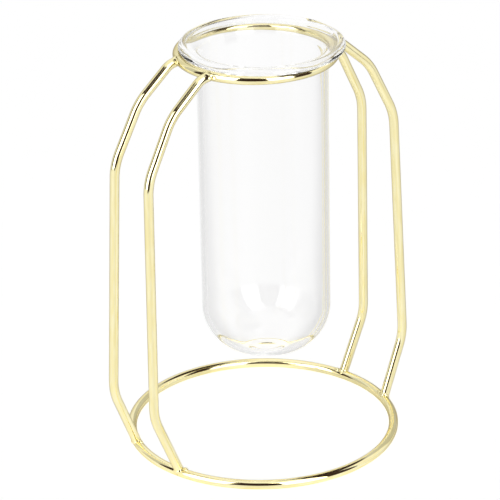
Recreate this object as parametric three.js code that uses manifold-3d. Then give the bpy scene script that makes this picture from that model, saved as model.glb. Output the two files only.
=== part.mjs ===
// Hydroponic vase: a clear glass test tube that hangs by its rim in a welded stand of round wire.
// Millimetres, +Z up. The origin is on the table, under the middle of the base ring.
// The stand's four uprights leave the small top ring in two pairs, one towards +X and one towards -X.

import * as THREE from 'three';
import { mergeVertices } from 'three/addons/utils/BufferGeometryUtils.js';
import Module from 'manifold-3d';

const wasm = await Module();
wasm.setup();

// Driving dimensions of the stand
const wireDiameter = 3.6;
const baseRingRadius = 51; // to the wire's centre line
const topRingHeight = 155.2; // centre line of the top ring above the table
const leftSpacingAtBase = 29.4; // between the two wires of the left pair, on the base ring
const leftSpacingAtTop = 20.2; // and where they meet the top ring
const rightSpacingAtBase = 26.8; // the right pair stands a little closer together
const rightSpacingAtTop = 17.9;
const ankleOutset = 8.2; // how far the lowest bend lies outside the base ring
const ankleHeight = 27.3;
const shoulderOutset = 5.4; // the long straight run leans in a little towards its upper bend
const shoulderDrop = 34.5; // below the top ring
const neckOutset = 16.2; // outside the top ring
const neckDrop = 12.4;
const collarOutset = 2.7;
const collarDrop = 0.6;
const bendRadius = 22;
const collarBendRadius = 8;
const weldBulge = 0.6; // how far a weld bead stands out around its wire

// Driving dimensions of the glass tube
const tubeDiameter = 49.2;
const tubeWall = 2;
const tubeLength = 125;
const floorThickness = 1.7;
const cornerRadius = 18.4; // the rounded bottom: a tight corner
const crownRadius = 41.4; // and a flatter crown under the middle
const rimThickness = 2.6;
const rimOverlap = 1.8; // how far the rim reaches past the top ring's centre line
const rimRoundWidth = 4; // the rim's top rounds off over this width, flatter inwards than outwards
const rimCrease = 120; // degrees round that top, from outwards: there it turns into the mouth's flare
const underRimFillet = 2;

// Fits
const jointGap = 0.3; // between parts that touch
const tubePlay = 2.7; // between the glass and the top ring, all round, with the tube in the middle
const sideGap = 0.3; // what is left of the play where the tube hangs nearest to the ring
const hangDirection = THREE.MathUtils.degToRad(-64); // the side that the tube hangs nearest to

// Fineness of the faceted surfaces
const wireSides = 12;
const baseRingSteps = 84;
const topRingSteps = 60;
const uprightSteps = 44;
const tubeSteps = 60;
const beadSteps = 14;
const crownSteps = 3;
const cornerSteps = 6;
const filletSteps = 4;
const mergeDistance = 1e-3; // corners closer than this are one corner

// Sizes that follow from the ones above
const wireRadius = wireDiameter / 2;
const tubeRadius = tubeDiameter / 2;
const boreRadius = tubeRadius - tubeWall;
const topRingRadius = tubeRadius + tubePlay + wireRadius;
const rimRadius = topRingRadius + rimOverlap;
const rimSeatHeight = topRingHeight + wireRadius + jointGap;
const tubeShift = tubePlay - sideGap;
const beadRadius = wireRadius + weldBulge;

const goldWire = new THREE.MeshStandardMaterial({ color: 0xe9d9a0, roughness: 0.12, metalness: 1 });
const clearGlass = new THREE.MeshStandardMaterial({
  color: 0xf4f7f6,
  roughness: 0.02,
  metalness: 0,
  transparent: true,
  opacity: 0.35,
});

// A closed mesh as a solid for joining and cutting, and back again.
function solidOf(geometry) {
  const bare = geometry.clone();
  bare.deleteAttribute('normal');
  bare.deleteAttribute('uv');
  const merged = mergeVertices(bare, mergeDistance);
  return new wasm.Manifold(
    new wasm.Mesh({
      numProp: 3,
      vertProperties: merged.attributes.position.array,
      triVerts: new Uint32Array(merged.index.array),
    }),
  );
}

function geometryOf(solid) {
  const mesh = solid.getMesh();
  const geometry = new THREE.BufferGeometry();
  geometry.setAttribute('position', new THREE.BufferAttribute(mesh.vertProperties, mesh.numProp));
  geometry.setIndex(new THREE.BufferAttribute(mesh.triVerts, 1));
  geometry.computeVertexNormals();
  return geometry;
}

// Turns a profile of (radius, height) points about the Z axis.
function turned(profile, steps) {
  return new THREE.LatheGeometry(profile, steps).rotateX(Math.PI / 2);
}

// Corners of the wire's section: flats face straight up, down and sideways.
function wireSection(radius) {
  const cornerDistance = radius / Math.cos(Math.PI / wireSides);
  const corners = [];
  for (let i = 0; i < wireSides; i += 1) {
    const angle = (2 * Math.PI * (i + 0.5)) / wireSides;
    corners.push(new THREE.Vector2(cornerDistance * Math.cos(angle), cornerDistance * Math.sin(angle)));
  }
  return corners;
}

// A hoop of wire lying flat, with its centre line at the given radius and height.
function hoop(centreRadius, height, sectionRadius, steps) {
  const profile = wireSection(sectionRadius).map(
    (corner) => new THREE.Vector2(centreRadius + corner.x, height + corner.y),
  );
  profile.push(profile[0].clone());
  return turned(profile, steps);
}

// An arc in space between two straight runs, round a corner.
class Bend extends THREE.Curve {
  constructor(before, corner, after, radius) {
    super();
    const inward = before.clone().sub(corner).normalize();
    const outward = after.clone().sub(corner).normalize();
    const halfAngle = inward.angleTo(outward) / 2;
    const shorterRun = Math.min(before.distanceTo(corner), after.distanceTo(corner));
    const reach = Math.min(radius / Math.tan(halfAngle), shorterRun * Bend.largestShare);
    this.radius = reach * Math.tan(halfAngle);
    this.sweep = Math.PI - 2 * halfAngle;
    this.start = corner.clone().addScaledVector(inward, reach);
    this.end = corner.clone().addScaledVector(outward, reach);
    const middle = inward.clone().add(outward).normalize();
    this.centre = corner.clone().addScaledVector(middle, this.radius / Math.sin(halfAngle));
    this.toStart = this.start.clone().sub(this.centre).normalize();
    this.forward = inward.clone().negate();
  }

  getPoint(t, target = new THREE.Vector3()) {
    const angle = this.sweep * t;
    return target
      .copy(this.centre)
      .addScaledVector(this.toStart, this.radius * Math.cos(angle))
      .addScaledVector(this.forward, this.radius * Math.sin(angle));
  }
}
Bend.largestShare = 0.45; // of a straight run, that one bend may take up

// The centre line of a pair's upright on the +X, +Y side, from the base ring up to the top ring.
function uprightPath(spacingAtBase, spacingAtTop) {
  const ringReach = (radius, spacing) => Math.sqrt(radius ** 2 - (spacing / 2) ** 2);
  const point = (reach, height) => {
    const rise = (height - wireRadius) / (topRingHeight - wireRadius);
    const halfSpacing = THREE.MathUtils.lerp(spacingAtBase, spacingAtTop, rise) / 2;
    return new THREE.Vector3(reach, halfSpacing, height);
  };
  const corners = [
    { at: point(ringReach(baseRingRadius, spacingAtBase), wireRadius) },
    { at: point(baseRingRadius + ankleOutset, ankleHeight), radius: bendRadius },
    { at: point(baseRingRadius + shoulderOutset, topRingHeight - shoulderDrop), radius: bendRadius },
    { at: point(topRingRadius + neckOutset, topRingHeight - neckDrop), radius: bendRadius },
    { at: point(topRingRadius + collarOutset, topRingHeight - collarDrop), radius: collarBendRadius },
    { at: point(ringReach(topRingRadius, spacingAtTop), topRingHeight) },
  ];
  const path = new THREE.CurvePath();
  let from = corners[0].at;
  for (let i = 1; i < corners.length - 1; i += 1) {
    const bend = new Bend(corners[i - 1].at, corners[i].at, corners[i + 1].at, corners[i].radius);
    path.add(new THREE.LineCurve3(from, bend.start));
    path.add(bend);
    from = bend.end;
  }
  path.add(new THREE.LineCurve3(from, corners[corners.length - 1].at));
  return path;
}

// A bead of weld metal round the wire, where it comes out of a ring. The wire runs into the ring's
// centre line at one end of its path, and comes out of the ring in the given direction.
function weldBead(ringCentre, outOfRing) {
  const at = ringCentre.clone().addScaledVector(outOfRing, wireRadius + jointGap + weldBulge);
  return new THREE.SphereGeometry(beadRadius, beadSteps, beadSteps / 2).translate(at.x, at.y, at.z);
}

// One bent wire with its two weld beads. Both ends are cut hollow to sit against the rings.
function upright(spacingAtBase, spacingAtTop) {
  const path = uprightPath(spacingAtBase, spacingAtTop);
  const wire = new THREE.ExtrudeGeometry(new THREE.Shape(wireSection(wireRadius)), {
    steps: uprightSteps,
    extrudePath: path,
    bevelEnabled: false,
  });
  const clearSection = wireRadius + jointGap;
  const solid = solidOf(wire)
    .add(solidOf(weldBead(path.getPointAt(0), path.getTangentAt(0))))
    .add(solidOf(weldBead(path.getPointAt(1), path.getTangentAt(1).negate())))
    .subtract(solidOf(hoop(baseRingRadius, wireRadius, clearSection, baseRingSteps)))
    .subtract(solidOf(hoop(topRingRadius, topRingHeight, clearSection, topRingSteps)));
  return geometryOf(solid);
}

// Points on an arc in the profile's plane, both ends included; angles in degrees from outwards.
function arc(centreX, centreY, radius, fromAngle, toAngle, steps, flatRadius = radius) {
  const points = [];
  for (let i = 0; i <= steps; i += 1) {
    const angle = THREE.MathUtils.degToRad(THREE.MathUtils.lerp(fromAngle, toAngle, i / steps));
    points.push(new THREE.Vector2(centreX + flatRadius * Math.cos(angle), centreY + radius * Math.sin(angle)));
  }
  return points;
}

// The round bottom of a tube, from the axis out to where the straight wall starts.
function roundFloor(wallRadius, corner, crown, lowest) {
  const crownCentre = lowest + crown;
  const cornerCentreX = wallRadius - corner;
  const cornerCentreY = crownCentre - Math.sqrt((crown - corner) ** 2 - cornerCentreX ** 2);
  const meeting = THREE.MathUtils.radToDeg(Math.asin(cornerCentreX / (crown - corner))) - 90;
  return [
    new THREE.Vector2(0, lowest),
    ...arc(0, crownCentre, crown, -90, meeting, crownSteps).slice(1),
    ...arc(cornerCentreX, cornerCentreY, corner, meeting, 0, cornerSteps).slice(1),
  ];
}

// The tube's section, with height 0 at the underside of its rim.
function tubeProfile() {
  const lowest = rimThickness - tubeLength;
  const edgeRadius = rimThickness / 2;
  const halfRound = rimRoundWidth / 2;
  const outside = [
    ...roundFloor(tubeRadius, cornerRadius, crownRadius, lowest),
    ...arc(tubeRadius + underRimFillet, -underRimFillet, underRimFillet, 180, 90, filletSteps),
    ...arc(rimRadius - edgeRadius, edgeRadius, edgeRadius, -90, 0, filletSteps),
    ...arc(rimRadius - halfRound, edgeRadius, edgeRadius, 0, rimCrease, cornerSteps, halfRound).slice(1),
  ];
  const crease = outside[outside.length - 1];
  const flareRadius = crease.x - boreRadius;
  const innerCorner = cornerRadius - tubeWall;
  const innerCrown = crownRadius - floorThickness;
  const inside = [
    ...arc(crease.x, crease.y - flareRadius, flareRadius, 90, 180, cornerSteps).slice(1),
    ...roundFloor(boreRadius, innerCorner, innerCrown, lowest + floorThickness).reverse(),
  ];
  return [...outside, ...inside];
}

function named(name, geometry, material) {
  const mesh = new THREE.Mesh(geometry, material);
  mesh.name = name;
  return mesh;
}

const vase = new THREE.Group();
vase.add(named('base_ring', hoop(baseRingRadius, wireRadius, wireRadius, baseRingSteps), goldWire));
vase.add(named('top_ring', hoop(topRingRadius, topRingHeight, wireRadius, topRingSteps), goldWire));

const pairs = [
  { side: 'left', sideSign: -1, geometry: upright(leftSpacingAtBase, leftSpacingAtTop) },
  { side: 'right', sideSign: 1, geometry: upright(rightSpacingAtBase, rightSpacingAtTop) },
];
for (const { side, sideSign, geometry } of pairs) {
  for (const [row, rowSign] of [['front', -1], ['rear', 1]]) {
    const mesh = named(`upright_${side}_${row}`, geometry, goldWire);
    mesh.scale.set(sideSign, rowSign, 1);
    vase.add(mesh);
  }
}

const glassTube = named('glass_tube', turned(tubeProfile(), tubeSteps), clearGlass);
glassTube.position.set(
  tubeShift * Math.cos(hangDirection),
  tubeShift * Math.sin(hangDirection),
  rimSeatHeight,
);
vase.add(glassTube);

export default vase;
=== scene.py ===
# Looks of a hydroponic vase: a clear glass test tube that hangs by its rim in a gold-plated wire stand.
# Metres, +Z up, the origin on the table under the middle of the base ring.
import math

import bpy
from mathutils import Matrix, Vector

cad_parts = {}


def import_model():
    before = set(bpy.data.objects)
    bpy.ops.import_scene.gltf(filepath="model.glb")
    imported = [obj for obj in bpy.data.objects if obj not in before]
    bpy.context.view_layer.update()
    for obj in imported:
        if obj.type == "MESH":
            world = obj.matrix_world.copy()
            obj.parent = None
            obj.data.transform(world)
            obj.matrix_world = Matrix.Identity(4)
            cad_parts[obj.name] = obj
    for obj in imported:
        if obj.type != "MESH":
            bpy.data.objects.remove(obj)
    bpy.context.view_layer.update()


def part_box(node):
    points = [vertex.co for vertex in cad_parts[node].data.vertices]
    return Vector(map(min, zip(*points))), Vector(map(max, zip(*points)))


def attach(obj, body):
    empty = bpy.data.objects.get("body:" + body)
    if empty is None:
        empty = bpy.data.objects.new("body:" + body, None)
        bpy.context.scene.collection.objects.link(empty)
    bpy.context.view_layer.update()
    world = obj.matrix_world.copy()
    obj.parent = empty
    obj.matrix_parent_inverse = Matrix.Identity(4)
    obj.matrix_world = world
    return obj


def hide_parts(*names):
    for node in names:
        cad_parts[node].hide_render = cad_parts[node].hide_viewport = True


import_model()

MM = 0.001
UP = Vector((0, 0, 1))

# The stand. Its rings are measured on the frame, and its bends repeat the construction's own sizes.
WIRE_RADIUS = (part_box("base_ring")[1].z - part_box("base_ring")[0].z) / 2
BASE_RING_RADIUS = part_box("base_ring")[1].x - WIRE_RADIUS
TOP_RING_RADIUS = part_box("top_ring")[1].x - WIRE_RADIUS
TOP_RING_HEIGHT = (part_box("top_ring")[1].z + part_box("top_ring")[0].z) / 2
UPRIGHTS = (  # name, side and row: -1 or 1, towards -X or +X and towards -Y or +Y
    ("left_front", -1, -1),
    ("left_rear", -1, 1),
    ("right_front", 1, -1),
    ("right_rear", 1, 1),
)
PAIR_SPACINGS = {  # from wire to wire for each side, at the base ring and at the top ring
    -1: (29.4 * MM, 20.2 * MM),
    1: (26.8 * MM, 17.9 * MM),
}
ANKLE_OUTSET = 8.2 * MM
ANKLE_HEIGHT = 27.3 * MM
SHOULDER_OUTSET = 5.4 * MM
SHOULDER_DROP = 34.5 * MM
NECK_OUTSET = 16.2 * MM
NECK_DROP = 12.4 * MM
COLLAR_OUTSET = 2.7 * MM
COLLAR_DROP = 0.6 * MM
BEND_RADIUS = 22 * MM
COLLAR_BEND_RADIUS = 8 * MM
LARGEST_BEND_SHARE = 0.45  # how much of the shorter stretch beside a corner its bend may take

# The welds: a collar round each wire's end, and a drop of metal beside it
WELD_COLLAR = 0.25 * MM  # how far a collar stands out round its wire
WELD_COLLAR_FORM = Vector((1, 1, 0.9))
WELD_COLLAR_SHIFT = 0.75  # from the ring's centre line along the wire, in wire radii
WELD_DROP = 1.1 * MM
WELD_DROP_FORM = Vector((0.9, 1.45, 0.9))
DROP_BESIDE = 2.4 * MM  # along the ring, from the end of the wire's centre line
BASE_DROP_RISE = 1.3 * MM  # above the base ring's centre line
BASE_DROP_INSET = 0.5 * MM  # and towards the middle of the ring
TOP_DROP_OUTSET = 1.2 * MM  # away from the middle of the ring
WELD_UNEVENNESS = 0.16

# The glass tube
TUBE_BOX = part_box("glass_tube")
TUBE_CENTRE = Vector(((TUBE_BOX[0].x + TUBE_BOX[1].x) / 2, (TUBE_BOX[0].y + TUBE_BOX[1].y) / 2, 0))
RIM_RADIUS = (TUBE_BOX[1].x - TUBE_BOX[0].x) / 2
RIM_THICKNESS = 2.6 * MM
RIM_SEAT = TUBE_BOX[1].z - RIM_THICKNESS
RIM_WIDTH = 4 * MM
RIM_EDGE_RADIUS = 1.0 * MM
RIM_CREASE = 120  # degrees round the rim's bead, from outwards
TUBE_RADIUS = 24.6 * MM
TUBE_WALL = 2 * MM
FLOOR_THICKNESS = 1.7 * MM
CORNER_RADIUS = 18.4 * MM
CROWN_RADIUS = 41.4 * MM
UNDER_RIM_FILLET = 3.2 * MM
UNDER_RIM_SQUARENESS = 2.4  # 2 is round; a little more keeps it clear of the top ring
LUMP_HEIGHT = 0.55 * MM  # a thicker spot in the inner floor, beside the axis
LUMP_RADIUS = 6.4 * MM
LUMP_EDGE = 2.6 * MM  # half the width of the slope round it
LUMP_OFFSET = Vector((-3.3 * MM, -4.5 * MM))
FINE_FLOOR_RADIUS = 16 * MM

# Fineness of the meshes
WIRE_SIDES = 40
RING_STEPS = 288
PATH_STEP = 0.6 * MM
LEAST_BEND_STEPS = 6
END_STEPS = 3  # the steps of a wire's path over which its direction at an end is taken
BEAD_ROWS = 14
BEAD_COLUMNS = 20
WELD_VOXEL = 0.12 * MM
LATHE_STEPS = 576
WALL_ROWS = 5
CROWN_STEPS = 12
CORNER_STEPS = 32
FINE_FLOOR_SPLIT = 3
FILLET_STEPS = 28
RIM_EDGE_STEPS = 30
RIM_BEAD_STEPS = 64
MOUTH_STEPS = 48
PAINTED_REFLECTION_STEPS = 24

# Colours
GOLD_PALE = (1.0, 0.925, 0.575)
GOLD_DEEP = (0.96, 0.86, 0.47)
GOLD_EDGE = (0.5, 0.46, 0.42, 1)  # what is left of a reflection that grazes the plating
GLASS_PALE = (0.99, 0.99, 0.99)
GLASS_DEEP = (0.978, 0.978, 0.979)
WHITE = (1, 1, 1, 1)
BLACK = (0, 0, 0, 1)

# Textures. A noise has a scale, in cells to the metre, and a number for its finer detail.
WIRE_PLACE = "wire_place"
STREAK_SQUEEZE = 0.12  # a wire's length in its texture, as a part of the real one
GLASS_STRETCH = (1, 1, 0.12)  # the same for the glass, which has it along the tube
STREAKS = (900, 2)
HAZE = (330, 3)
DENTS = (260, 1)
DENT_DEPTH = 0.05 * MM
LINES = (3200, 1)
LINE_DEPTH = 0.002 * MM
WIRE_ROUGHNESS = (0.04, 0.11)
WELD_PATCHES = (800, 2)
WELD_LUMPS = (600, 1)
WELD_LUMP_DEPTH = 0.12 * MM
WELD_ROUGHNESS = (0.18, 0.08)
GLASS_CLOUD = (70, 2)
GLASS_WAVES = (110, 1)
GLASS_WAVE_DEPTH = 0.01 * MM
WAVES_FADE_FROM = 8 * MM  # below the underside of the rim
WAVES_END_AT = 2 * MM
GLASS_IOR = 1.47
NOISE_MIDDLE = (0.35, 0.65)  # the part of a noise that is spread over two colours
NOISE_MOST = (0.3, 0.7)  # and the part that is spread over a range of roughness

# The camera, as fitted to the photograph's perspective. Its angles are in radians, and its lens and
# its sensor in millimetres. RIGHT and AWAY are level directions as it sees them.
CAMERA_DISTANCE = 970.1 * MM
CAMERA_HEIGHT = 512.6 * MM
CAMERA_SIDE = 0.6123
CAMERA_YAW = -0.00384
CAMERA_PITCH = 0.42358
CAMERA_ROLL = 0.01933
CAMERA_LENS = 201.6
SENSOR_WIDTH = 36
NEAREST_SEEN = 0.05
FARTHEST_SEEN = 50
RIGHT = Vector((math.cos(CAMERA_SIDE), -math.sin(CAMERA_SIDE), 0))
AWAY = Vector((math.sin(CAMERA_SIDE), math.cos(CAMERA_SIDE), 0))

# The studio, in degrees to the right of the camera's direction and above the floor
SOFTBOX_RADIANCE = 2.0
SOFTBOXES = (  # name, degrees to the right, degrees above the floor, distance, width and height
    ("softbox_left", -47.5, 25, 1.0, 0.68, 1.12),
    ("softbox_right", 33.4, 29, 0.8, 0.52, 1.0),
)
# The glow of the strips below, which paint dark and grey reflections of the room into the metal and the glass
DARK = (0.04, 0.024, 0.02)
GREY = (0.62, 0.62, 0.62)
PALE_GREY = (0.8, 0.8, 0.8)
PAINTED_REFLECTIONS = (  # painted reflections: strips round the vase that glow with a flat colour and that only reflections show: left and right side, distance, low and high edge, colour
    (-26, 14, 0.6, 0, 0.88, DARK),
    (49, 76, 0.42, 0, 0.7, DARK),
    (-90, -74, 0.8, 0, 0.8, DARK),
    (-101, -24, 0.8, 0.9, 1.4, DARK),
    (66, 168, 0.75, 0.8, 2.8, DARK),
    (118, 172, 1.1, 0, 1.3, GREY),
    (-150, -118, 1.1, 0, 1.3, PALE_GREY),
    (-112, -87, 1.1, 0, 1.0, GREY),
)
FLOOR_HALF = 6
FLOOR_ALBEDO = 0.85
FLOOR_ROUGHNESS = 0.9
FLOOR_WHITE = 1.0  # the floor's brightness where nothing shades it
SHADED_WORLD = 0.3  # the part of it that falls from all round and that the object can shade
FLOOR_SIDES = (  # painted shade in the floor's glow, which only reflections and the glass see: degrees to the right of the camera, and how bright they find the floor
    (-180, 1), (-168, 1), (-150, 0.7), (-128, 0.78), (-104, 0.85), (-80, 0.9), (-66, 1),
    (-30, 1), (-12, 0.87), (6, 0.87), (26, 1), (50, 1), (76, 0.84), (88, 0.84),
    (112, 0.78), (134, 0.64), (154, 0.62), (168, 1), (180, 1),
)

# Light is reflected many times inside the rim, and lower limits than these leave black patches there
ALL_BOUNCES = 256
GLOSSY_BOUNCES = 192
TRANSMISSION_BOUNCES = 64


def mesh_object(name, vertices, faces):
    mesh = bpy.data.meshes.new(name)
    mesh.from_pydata(vertices, [], faces)
    mesh.polygons.foreach_set("use_smooth", [True] * len(mesh.polygons))
    mesh.update()
    obj = bpy.data.objects.new(name, mesh)
    bpy.context.scene.collection.objects.link(obj)
    return obj


def grid_faces(rows, columns, closed_rows):
    """Quads of a grid whose columns close on themselves, and whose rows do too if closed_rows."""
    faces = []
    for i in range(rows if closed_rows else rows - 1):
        for j in range(columns):
            a, b = i * columns, ((i + 1) % rows) * columns
            k = (j + 1) % columns
            faces.append((a + j, a + k, b + k, b + j))
    return faces


def wire_object(name, centres, offsets, faces):
    """A wire's mesh. Its texture place is its shape with the length squeezed: streaks follow the wire."""
    vertices = [centre + offset for centre, offset in zip(centres, offsets)]
    obj = mesh_object(name, vertices, faces)
    place = obj.data.attributes.new(WIRE_PLACE, "FLOAT_VECTOR", "POINT")
    for item, centre, offset in zip(place.data, centres, offsets):
        item.vector = centre * STREAK_SQUEEZE + offset
    return obj


def hoop(name, radius, height):
    """A level ring of wire."""
    centres = []
    offsets = []
    for i in range(RING_STEPS):
        turn = 2 * math.pi * i / RING_STEPS
        outward = Vector((math.cos(turn), math.sin(turn), 0))
        for j in range(WIRE_SIDES):
            angle = 2 * math.pi * j / WIRE_SIDES
            centres.append(outward * radius + UP * height)
            offsets.append((outward * math.cos(angle) + UP * math.sin(angle)) * WIRE_RADIUS)
    faces = [tuple(reversed(face)) for face in grid_faces(RING_STEPS, WIRE_SIDES, True)]
    return wire_object(name, centres, offsets, faces)


def upright_corners(side, row):
    """The corners of an upright's centre line, each with the radius of its bend."""
    at_base, at_top = PAIR_SPACINGS[side]

    def corner(reach, height, radius):
        rise = (height - WIRE_RADIUS) / (TOP_RING_HEIGHT - WIRE_RADIUS)
        spacing = at_base + (at_top - at_base) * rise
        return Vector((side * reach, row * spacing / 2, height)), radius

    return [
        corner(math.sqrt(BASE_RING_RADIUS ** 2 - (at_base / 2) ** 2), WIRE_RADIUS, 0),
        corner(BASE_RING_RADIUS + ANKLE_OUTSET, ANKLE_HEIGHT, BEND_RADIUS),
        corner(BASE_RING_RADIUS + SHOULDER_OUTSET, TOP_RING_HEIGHT - SHOULDER_DROP, BEND_RADIUS),
        corner(TOP_RING_RADIUS + NECK_OUTSET, TOP_RING_HEIGHT - NECK_DROP, BEND_RADIUS),
        corner(TOP_RING_RADIUS + COLLAR_OUTSET, TOP_RING_HEIGHT - COLLAR_DROP, COLLAR_BEND_RADIUS),
        corner(math.sqrt(TOP_RING_RADIUS ** 2 - (at_top / 2) ** 2), TOP_RING_HEIGHT, 0),
    ]


def bend_points(before, corner, after, radius):
    """The round bend at a corner, tighter where the stretches beside it are short."""
    inward = (before - corner).normalized()
    outward = (after - corner).normalized()
    half_angle = inward.angle(outward) / 2
    shorter = min((before - corner).length, (after - corner).length)
    reach = min(radius / math.tan(half_angle), shorter * LARGEST_BEND_SHARE)
    radius = reach * math.tan(half_angle)
    start = corner + inward * reach
    centre = corner + (inward + outward).normalized() * radius / math.sin(half_angle)
    to_start = (start - centre).normalized()
    sweep = math.pi - 2 * half_angle
    steps = max(LEAST_BEND_STEPS, round(radius * sweep / PATH_STEP))
    points = []
    for i in range(steps + 1):
        angle = sweep * i / steps
        points.append(centre + to_start * radius * math.cos(angle) - inward * radius * math.sin(angle))
    return points


def straight(start, end):
    """Points in even steps from start, which is left out, to end."""
    steps = max(1, round((end - start).length / PATH_STEP))
    return [start.lerp(end, (i + 1) / steps) for i in range(steps)]


def upright_path(side, row):
    corners = upright_corners(side, row)
    points = [corners[0][0]]
    for i in range(1, len(corners) - 1):
        bend = bend_points(corners[i - 1][0], corners[i][0], corners[i + 1][0], corners[i][1])
        points += straight(points[-1], bend[0]) + bend[1:]
    points += straight(points[-1], corners[-1][0])
    return points


def upright(name, side, row):
    """One bent wire with flat ends."""
    path = upright_path(side, row)
    across = Vector((0, 1, 0))
    centres = []
    offsets = []
    for i, point in enumerate(path):
        along = (path[min(i + 1, len(path) - 1)] - path[max(i - 1, 0)]).normalized()
        first = (across - along * across.dot(along)).normalized()
        second = along.cross(first)
        for j in range(WIRE_SIDES):
            angle = 2 * math.pi * j / WIRE_SIDES
            centres.append(point)
            offsets.append((first * math.cos(angle) + second * math.sin(angle)) * WIRE_RADIUS)
    faces = grid_faces(len(path), WIRE_SIDES, False)
    faces.append(tuple(reversed(range(WIRE_SIDES))))
    faces.append(tuple(range(len(path) * WIRE_SIDES - WIRE_SIDES, len(path) * WIRE_SIDES)))
    return wire_object(name, centres, offsets, faces)


def weld_bead(reach, spin):
    """The offsets and faces of a lump of weld metal. reach is its three radii, and spin varies its lumps."""
    offsets = []
    for i in range(BEAD_ROWS + 1):
        rise = math.pi * i / BEAD_ROWS
        for j in range(BEAD_COLUMNS):
            turn = 2 * math.pi * j / BEAD_COLUMNS
            way = Vector((math.sin(rise) * math.cos(turn), math.sin(rise) * math.sin(turn), math.cos(rise)))
            waves = math.sin(3 * way.x + spin) + math.sin(4 * way.y + 2 * spin) + math.sin(5 * way.z - spin)
            lump = 1 + WELD_UNEVENNESS * waves / 3
            offsets.append(Vector((way.x * reach.x, way.y * reach.y, way.z * reach.z)) * lump)
    faces = [tuple(reversed(face)) for face in grid_faces(BEAD_ROWS + 1, BEAD_COLUMNS, False)]
    return offsets, faces


def weld(name, ring_centre, out_of_ring, drop_way, spin):
    """A collar of weld metal where a wire runs into a ring, and a drop of it beside the wire."""
    collar_centre = ring_centre + out_of_ring * WIRE_RADIUS * WELD_COLLAR_SHIFT
    collar_reach = WELD_COLLAR_FORM * (WIRE_RADIUS + WELD_COLLAR)
    drop_centre = ring_centre + drop_way
    drop_reach = WELD_DROP_FORM * WELD_DROP
    centres = []
    offsets = []
    faces = []
    for centre, reach in ((collar_centre, collar_reach), (drop_centre, drop_reach)):
        first = len(centres)
        bead_offsets, bead_faces = weld_bead(reach, spin)
        centres += [centre] * len(bead_offsets)
        offsets += bead_offsets
        faces += [tuple(first + k for k in face) for face in bead_faces]
    obj = wire_object(name, centres, offsets, faces)
    merge = obj.modifiers.new("one_skin", "REMESH")
    merge.mode = "VOXEL"
    merge.voxel_size = WELD_VOXEL
    merge.use_smooth_shade = True
    return obj


def welds():
    """The eight welds. Each drop lies beside its wire, in front of a left one and behind a right one."""
    pieces = []
    for name, side, row in UPRIGHTS:
        path = upright_path(side, row)
        ends = (("base", path[0], path[END_STEPS]), ("top", path[-1], path[-1 - END_STEPS]))
        for end_name, end, inner in ends:
            out_of_ring = (inner - end).normalized()
            outward = Vector((end.x, end.y, 0)).normalized()
            drop_way = UP.cross(outward) * DROP_BESIDE
            if end_name == "base":
                drop_way += UP * BASE_DROP_RISE - outward * BASE_DROP_INSET
            else:
                drop_way += outward * TOP_DROP_OUTSET
            spin = side + 2.3 * row + 0.7 * len(pieces)  # any number that differs from weld to weld
            pieces.append(weld(f"stand_weld_{name}_{end_name}", end, out_of_ring, drop_way, spin))
    return pieces


def arc(centre_x, centre_y, radius, start, end, steps):
    """Points on a circle from start to end, which are in degrees."""
    points = []
    for i in range(steps + 1):
        angle = math.radians(start + (end - start) * i / steps)
        points.append((centre_x + radius * math.cos(angle), centre_y + radius * math.sin(angle)))
    return points


def hollow_corner(corner_x, corner_y, size, squareness, steps):
    """A fillet under a corner, from the wall below it out to the flat beside it."""
    points = []
    for i in range(steps + 1):
        angle = math.pi / 2 * i / steps
        points.append((corner_x + size * (1 - math.cos(angle) ** (2 / squareness)),
                       corner_y - size * (1 - math.sin(angle) ** (2 / squareness))))
    return points


def straight_profile(start, end, steps):
    """The points between two others, in equal steps and without the two."""
    return [(start[0] + (end[0] - start[0]) * i / steps, start[1] + (end[1] - start[1]) * i / steps)
            for i in range(1, steps)]


def round_floor(wall, corner, crown, lowest):
    """A rounded bottom from the axis to the wall: a flat crown and then a tighter corner."""
    crown_centre = lowest + crown
    corner_x = wall - corner
    corner_y = crown_centre - math.sqrt((crown - corner) ** 2 - corner_x ** 2)
    meeting = math.degrees(math.asin(corner_x / (crown - corner))) - 90
    return [
        (0, lowest),
        *arc(0, crown_centre, crown, -90, meeting, CROWN_STEPS)[1:],
        *arc(corner_x, corner_y, corner, meeting, 0, CORNER_STEPS)[1:],
    ]


def fine_floor(points):
    """The same floor with short steps over its middle."""
    middle = [(point, after) for point, after in zip(points, points[1:]) if point[0] < FINE_FLOOR_RADIUS]
    fine = []
    for start, end in middle:
        fine += [start] + straight_profile(start, end, FINE_FLOOR_SPLIT)
    return fine + points[len(middle):]


def tube_profile():
    """The tube's section, from the axis up the outside, over the rim and down the inside to the axis."""
    lowest = TUBE_BOX[0].z
    bore = TUBE_RADIUS - TUBE_WALL
    outside = round_floor(TUBE_RADIUS, CORNER_RADIUS, CROWN_RADIUS, lowest)
    fillet = hollow_corner(TUBE_RADIUS, RIM_SEAT, UNDER_RIM_FILLET, UNDER_RIM_SQUARENESS, FILLET_STEPS)
    edge_height = RIM_SEAT + RIM_EDGE_RADIUS
    rim = arc(RIM_RADIUS - RIM_EDGE_RADIUS, edge_height, RIM_EDGE_RADIUS, -90, 0, RIM_EDGE_STEPS)
    bead_height = RIM_THICKNESS - RIM_EDGE_RADIUS
    for i in range(1, RIM_BEAD_STEPS + 1):
        angle = math.radians(RIM_CREASE * i / RIM_BEAD_STEPS)
        rim.append((RIM_RADIUS - RIM_WIDTH / 2 + RIM_WIDTH / 2 * math.cos(angle),
                    edge_height + bead_height * math.sin(angle)))
    flare = rim[-1][0] - bore
    mouth = arc(bore + flare, rim[-1][1] - flare, flare, 90, 180, MOUTH_STEPS)[1:]
    inside = fine_floor(round_floor(bore, CORNER_RADIUS - TUBE_WALL, CROWN_RADIUS - FLOOR_THICKNESS,
                                    lowest + FLOOR_THICKNESS))
    inside.reverse()
    return (outside + straight_profile(outside[-1], fillet[0], WALL_ROWS) + fillet + rim + mouth
            + straight_profile(mouth[-1], inside[0], WALL_ROWS) + inside)


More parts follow.
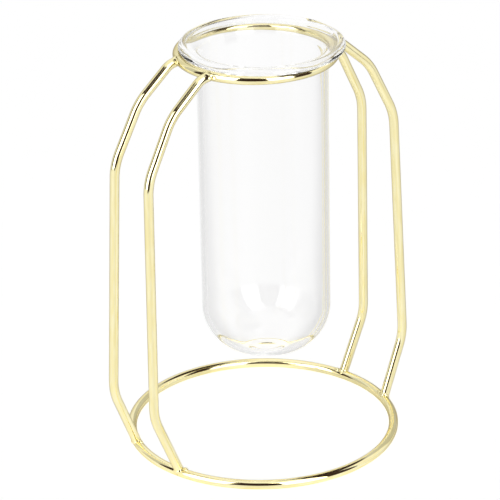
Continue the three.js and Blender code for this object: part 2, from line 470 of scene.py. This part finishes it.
def lathe(name, profile, centre):
    """A closed body of revolution. Its profile starts and ends on the axis."""
    rows = profile[1:-1]
    vertices = []
    for radius, height in rows:
        for j in range(LATHE_STEPS):
            angle = 2 * math.pi * j / LATHE_STEPS
            vertices.append((centre.x + radius * math.cos(angle),
                             centre.y + radius * math.sin(angle), height))
    faces = grid_faces(len(rows), LATHE_STEPS, False)
    low = len(vertices)
    high = low + 1
    vertices.append((centre.x, centre.y, profile[0][1]))
    vertices.append((centre.x, centre.y, profile[-1][1]))
    last = (len(rows) - 1) * LATHE_STEPS
    for j in range(LATHE_STEPS):
        k = (j + 1) % LATHE_STEPS
        faces.append((low, k, j))
        faces.append((high, last + j, last + k))
    return mesh_object(name, vertices, faces)


def raise_lump(tube):
    """Lifts the inner floor's vertices where the thicker spot is."""
    spot = TUBE_CENTRE.xy + LUMP_OFFSET
    for vertex in tube.data.vertices:
        reach = (vertex.co.xy - TUBE_CENTRE.xy).length
        outside = TUBE_BOX[0].z + reach ** 2 / (2 * CROWN_RADIUS)
        if vertex.co.z > outside + FLOOR_THICKNESS / 2:
            place = ((vertex.co.xy - spot).length - LUMP_RADIUS) / LUMP_EDGE
            vertex.co.z += LUMP_HEIGHT * (1 - math.sin(math.pi / 2 * max(-1, min(1, place)))) / 2


def new_material(name):
    material = bpy.data.materials.new(name)
    material.use_nodes = True
    nodes = material.node_tree.nodes
    return material, nodes, material.node_tree.links, nodes["Principled BSDF"]


def math_node(nodes, links, operation, *values):
    """A math node whose inputs are sockets or plain numbers."""
    node = nodes.new("ShaderNodeMath")
    node.operation = operation
    for socket, value in zip(node.inputs, values):
        if isinstance(value, (int, float)):
            socket.default_value = value
        else:
            links.new(value, socket)
    return node.outputs[0]


def noise(nodes, links, place, scale, detail):
    texture = nodes.new("ShaderNodeTexNoise")
    texture.inputs["Scale"].default_value = scale
    texture.inputs["Detail"].default_value = detail
    links.new(place, texture.inputs["Vector"])
    return texture.outputs["Fac"]


def spread(nodes, links, value, low, high, to_low, to_high):
    """The value's part from low to high, mapped smoothly to the given range."""
    node = nodes.new("ShaderNodeMapRange")
    node.interpolation_type = "SMOOTHSTEP"
    for socket, number in (("From Min", low), ("From Max", high), ("To Min", to_low), ("To Max", to_high)):
        node.inputs[socket].default_value = number
    links.new(value, node.inputs["Value"])
    return node.outputs["Result"]


def two_tones(nodes, links, value, first, second):
    """A colour that follows a noise from one to the other."""
    node = nodes.new("ShaderNodeMix")
    node.data_type = "RGBA"
    node.inputs["A"].default_value = (*first, 1)
    node.inputs["B"].default_value = (*second, 1)
    links.new(spread(nodes, links, value, *NOISE_MIDDLE, 0, 1), node.inputs["Factor"])
    return node.outputs["Result"]


def bump(nodes, links, height, distance, below=None):
    node = nodes.new("ShaderNodeBump")
    node.inputs["Distance"].default_value = distance
    links.new(height, node.inputs["Height"])
    if below:
        links.new(below, node.inputs["Normal"])
    return node.outputs["Normal"]


def plate_with_gold(nodes, links, shader, patches):
    """Metal whose gold is deeper and paler in patches."""
    links.new(two_tones(nodes, links, patches, GOLD_DEEP, GOLD_PALE), shader.inputs["Base Color"])
    shader.inputs["Specular Tint"].default_value = GOLD_EDGE
    shader.inputs["Metallic"].default_value = 1


def wire_material():
    """Bright plating over drawn wire: lengthwise streaks, slow dents, fine lines and a little haze."""
    material, nodes, links, shader = new_material("gold_wire")
    place_node = nodes.new("ShaderNodeAttribute")
    place_node.attribute_name = WIRE_PLACE
    place = place_node.outputs["Vector"]
    plate_with_gold(nodes, links, shader, noise(nodes, links, place, *STREAKS))
    haze = noise(nodes, links, place, *HAZE)
    links.new(spread(nodes, links, haze, *NOISE_MOST, *WIRE_ROUGHNESS), shader.inputs["Roughness"])
    dented = bump(nodes, links, noise(nodes, links, place, *DENTS), DENT_DEPTH)
    lined = bump(nodes, links, noise(nodes, links, place, *LINES), LINE_DEPTH, dented)
    links.new(lined, shader.inputs["Normal"])
    return material


def weld_material():
    """The same plating over weld metal, which is lumpy and a little duller."""
    material, nodes, links, shader = new_material("gold_weld")
    place = nodes.new("ShaderNodeTexCoord").outputs["Object"]
    patches = noise(nodes, links, place, *WELD_PATCHES)
    plate_with_gold(nodes, links, shader, patches)
    links.new(spread(nodes, links, patches, *NOISE_MOST, *WELD_ROUGHNESS), shader.inputs["Roughness"])
    lumps = noise(nodes, links, place, *WELD_LUMPS)
    links.new(bump(nodes, links, lumps, WELD_LUMP_DEPTH), shader.inputs["Normal"])
    return material


def glass_material():
    """Clear drawn glass: a faint grey that is not quite even, and slow waves along the tube below its rim."""
    material, nodes, links, shader = new_material("clear_glass")
    here = nodes.new("ShaderNodeTexCoord").outputs["Object"]
    stretch = nodes.new("ShaderNodeMapping")
    stretch.inputs["Scale"].default_value = GLASS_STRETCH
    links.new(here, stretch.inputs["Vector"])
    place = stretch.outputs["Vector"]
    cloud = noise(nodes, links, place, *GLASS_CLOUD)
    links.new(two_tones(nodes, links, cloud, GLASS_DEEP, GLASS_PALE), shader.inputs["Base Color"])
    separate = nodes.new("ShaderNodeSeparateXYZ")
    links.new(here, separate.inputs["Vector"])
    height = separate.outputs["Z"]
    below_rim = spread(nodes, links, height, RIM_SEAT - WAVES_FADE_FROM, RIM_SEAT - WAVES_END_AT, 1, 0)
    waves = math_node(nodes, links, "MULTIPLY", noise(nodes, links, place, *GLASS_WAVES), below_rim)
    links.new(bump(nodes, links, waves, GLASS_WAVE_DEPTH), shader.inputs["Normal"])
    shader.inputs["Transmission Weight"].default_value = 1
    shader.inputs["IOR"].default_value = GLASS_IOR
    shader.inputs["Roughness"].default_value = 0
    return material


def seen_white(nodes, links, otherwise):
    """1 where the camera, a reflection or a view through glass sees it, or else the given strength."""
    path = nodes.new("ShaderNodeLightPath").outputs
    seen = math_node(nodes, links, "MAXIMUM", path["Is Camera Ray"], path["Is Glossy Ray"])
    seen = math_node(nodes, links, "MAXIMUM", seen, path["Is Transmission Ray"])
    return math_node(nodes, links, "MULTIPLY_ADD", seen, 1 - otherwise, otherwise)


def world():
    made = bpy.data.worlds.new("studio")
    bpy.context.scene.world = made
    made.use_nodes = True
    nodes = made.node_tree.nodes
    links = made.node_tree.links
    background = nodes["Background"]
    background.inputs["Color"].default_value = WHITE
    links.new(seen_white(nodes, links, SHADED_WORLD), background.inputs["Strength"])


def floor_brightness(nodes, links):
    """1 for the camera. Reflections and the glass find the floor less bright in some directions: painted
    shade in the floor's glow.
    """
    position = nodes.new("ShaderNodeNewGeometry").outputs["Position"]
    reaches = []
    for way in (RIGHT, -AWAY):
        dot = nodes.new("ShaderNodeVectorMath")
        dot.operation = "DOT_PRODUCT"
        dot.inputs[1].default_value = way
        links.new(position, dot.inputs[0])
        reaches.append(dot.outputs["Value"])
    azimuth = math_node(nodes, links, "ARCTAN2", *reaches)
    turn = math_node(nodes, links, "MULTIPLY_ADD", azimuth, 1 / (2 * math.pi), 0.5)
    # Painted shade: the floor's glow darker in some directions, for reflections and the glass only
    ramp = nodes.new("ShaderNodeValToRGB")
    stops = ramp.color_ramp.elements
    for degrees, brightness in FLOOR_SIDES[1:-1]:
        stops.new(degrees / 360 + 0.5)
    for stop, (degrees, brightness) in zip(stops, FLOOR_SIDES):
        stop.position = degrees / 360 + 0.5
        stop.color = (brightness, brightness, brightness, 1)
    links.new(turn, ramp.inputs["Fac"])
    node = nodes.new("ShaderNodeMix")
    node.data_type = "RGBA"
    node.inputs["B"].default_value = WHITE
    links.new(nodes.new("ShaderNodeLightPath").outputs["Is Camera Ray"], node.inputs["Factor"])
    links.new(ramp.outputs["Color"], node.inputs["A"])
    return node.outputs["Result"]


def floor():
    corners = [(x * FLOOR_HALF, y * FLOOR_HALF, 0) for x, y in ((-1, -1), (1, -1), (1, 1), (-1, 1))]
    obj = mesh_object("floor", corners, [(0, 1, 2, 3)])
    material, nodes, links, shader = new_material("floor_paper")
    shader.inputs["Base Color"].default_value = (FLOOR_ALBEDO, FLOOR_ALBEDO, FLOOR_ALBEDO, 1)
    shader.inputs["Roughness"].default_value = FLOOR_ROUGHNESS
    shader.inputs["Specular IOR Level"].default_value = 0
    seen = seen_white(nodes, links, 0)
    strength = math_node(nodes, links, "MULTIPLY", seen, FLOOR_WHITE - FLOOR_ALBEDO * SHADED_WORLD)
    links.new(strength, shader.inputs["Emission Strength"])
    links.new(floor_brightness(nodes, links), shader.inputs["Emission Color"])
    obj.data.materials.append(material)


def toward(azimuth, elevation, distance):
    """A point seen from the origin; azimuth in degrees to the right of the direction of the camera."""
    turn = math.radians(azimuth)
    rise = math.radians(elevation)
    level = -AWAY * math.cos(turn) + RIGHT * math.sin(turn)
    return (level * math.cos(rise) + UP * math.sin(rise)) * distance


def painted_reflection(name, left, right, distance, low, high, colour):
    """A strip hung upright round the vase, which only reflections show: a painted reflection that glows with
    its own flat colour instead of being lit.
    """
    vertices = []
    for i in range(PAINTED_REFLECTION_STEPS + 1):
        foot = toward(left + (right - left) * i / PAINTED_REFLECTION_STEPS, 0, distance)
        vertices += [foot + UP * low, foot + UP * high]
    faces = [(2 * i, 2 * i + 2, 2 * i + 3, 2 * i + 1) for i in range(PAINTED_REFLECTION_STEPS)]
    obj = mesh_object(name, vertices, faces)
    material, nodes, links, shader = new_material(name)
    shader.inputs["Base Color"].default_value = BLACK
    shader.inputs["Specular IOR Level"].default_value = 0
    # Painted reflection: the strip glows with this colour and is see-through to everything but reflections
    shader.inputs["Emission Color"].default_value = (*colour, 1)
    shader.inputs["Emission Strength"].default_value = 1
    reflections = nodes.new("ShaderNodeLightPath").outputs["Glossy Depth"]
    links.new(math_node(nodes, links, "MINIMUM", reflections, 1), shader.inputs["Alpha"])
    obj.data.materials.append(material)
    obj.visible_camera = False
    obj.visible_diffuse = False
    obj.visible_shadow = False


def softbox(name, azimuth, elevation, distance, width, height):
    data = bpy.data.lights.new(name, "AREA")
    data.shape = "RECTANGLE"
    data.size = width
    data.size_y = height
    data.energy = SOFTBOX_RADIANCE * math.pi * width * height
    obj = bpy.data.objects.new(name, data)
    bpy.context.scene.collection.objects.link(obj)
    obj.location = toward(azimuth, elevation, distance)
    obj.rotation_euler = obj.location.to_track_quat("Z", "Y").to_euler()
    obj.visible_camera = False
    obj.visible_diffuse = False


def camera():
    data = bpy.data.cameras.new("camera")
    data.lens = CAMERA_LENS
    data.sensor_width = SENSOR_WIDTH
    data.clip_start = NEAREST_SEEN
    data.clip_end = FARTHEST_SEEN
    obj = bpy.data.objects.new("camera", data)
    bpy.context.scene.collection.objects.link(obj)
    forward = ((RIGHT * math.sin(CAMERA_YAW) + AWAY * math.cos(CAMERA_YAW)) * math.cos(CAMERA_PITCH)
               - UP * math.sin(CAMERA_PITCH))
    level_right = forward.cross(UP).normalized()
    level_up = level_right.cross(forward)
    camera_right = level_right * math.cos(CAMERA_ROLL) - level_up * math.sin(CAMERA_ROLL)
    camera_up = level_right * math.sin(CAMERA_ROLL) + level_up * math.cos(CAMERA_ROLL)
    turn = Matrix((camera_right, camera_up, -forward)).transposed().to_4x4()
    place = -AWAY * CAMERA_DISTANCE + UP * CAMERA_HEIGHT
    obj.matrix_world = Matrix.Translation(place) @ turn
    bpy.context.scene.camera = obj


def stand():
    gold = wire_material()
    weld_gold = weld_material()
    wires = [(hoop("stand_base_ring", BASE_RING_RADIUS, WIRE_RADIUS), "base_ring"),
             (hoop("stand_top_ring", TOP_RING_RADIUS, TOP_RING_HEIGHT), "top_ring")]
    for name, side, row in UPRIGHTS:
        wires.append((upright(f"stand_upright_{name}", side, row), f"upright_{name}"))
    for piece, node in wires:
        piece.data.materials.append(gold)
        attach(piece, "stand")
        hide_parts(node)
    for piece in welds():
        piece.data.materials.append(weld_gold)
        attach(piece, "stand")


def glass():
    tube = lathe("vase_glass_tube", tube_profile(), TUBE_CENTRE)
    raise_lump(tube)
    tube.data.materials.append(glass_material())
    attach(tube, "vase")
    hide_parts("glass_tube")


camera()
bpy.context.scene.cycles.max_bounces = ALL_BOUNCES
bpy.context.scene.cycles.glossy_bounces = GLOSSY_BOUNCES
bpy.context.scene.cycles.transmission_bounces = TRANSMISSION_BOUNCES
world()
floor()
for number, place in enumerate(PAINTED_REFLECTIONS):
    painted_reflection(f"cloth_{number}", *place)
for place in SOFTBOXES:
    softbox(*place)
stand()
glass()
bpy.context.scene.view_settings.view_transform = "Standard"
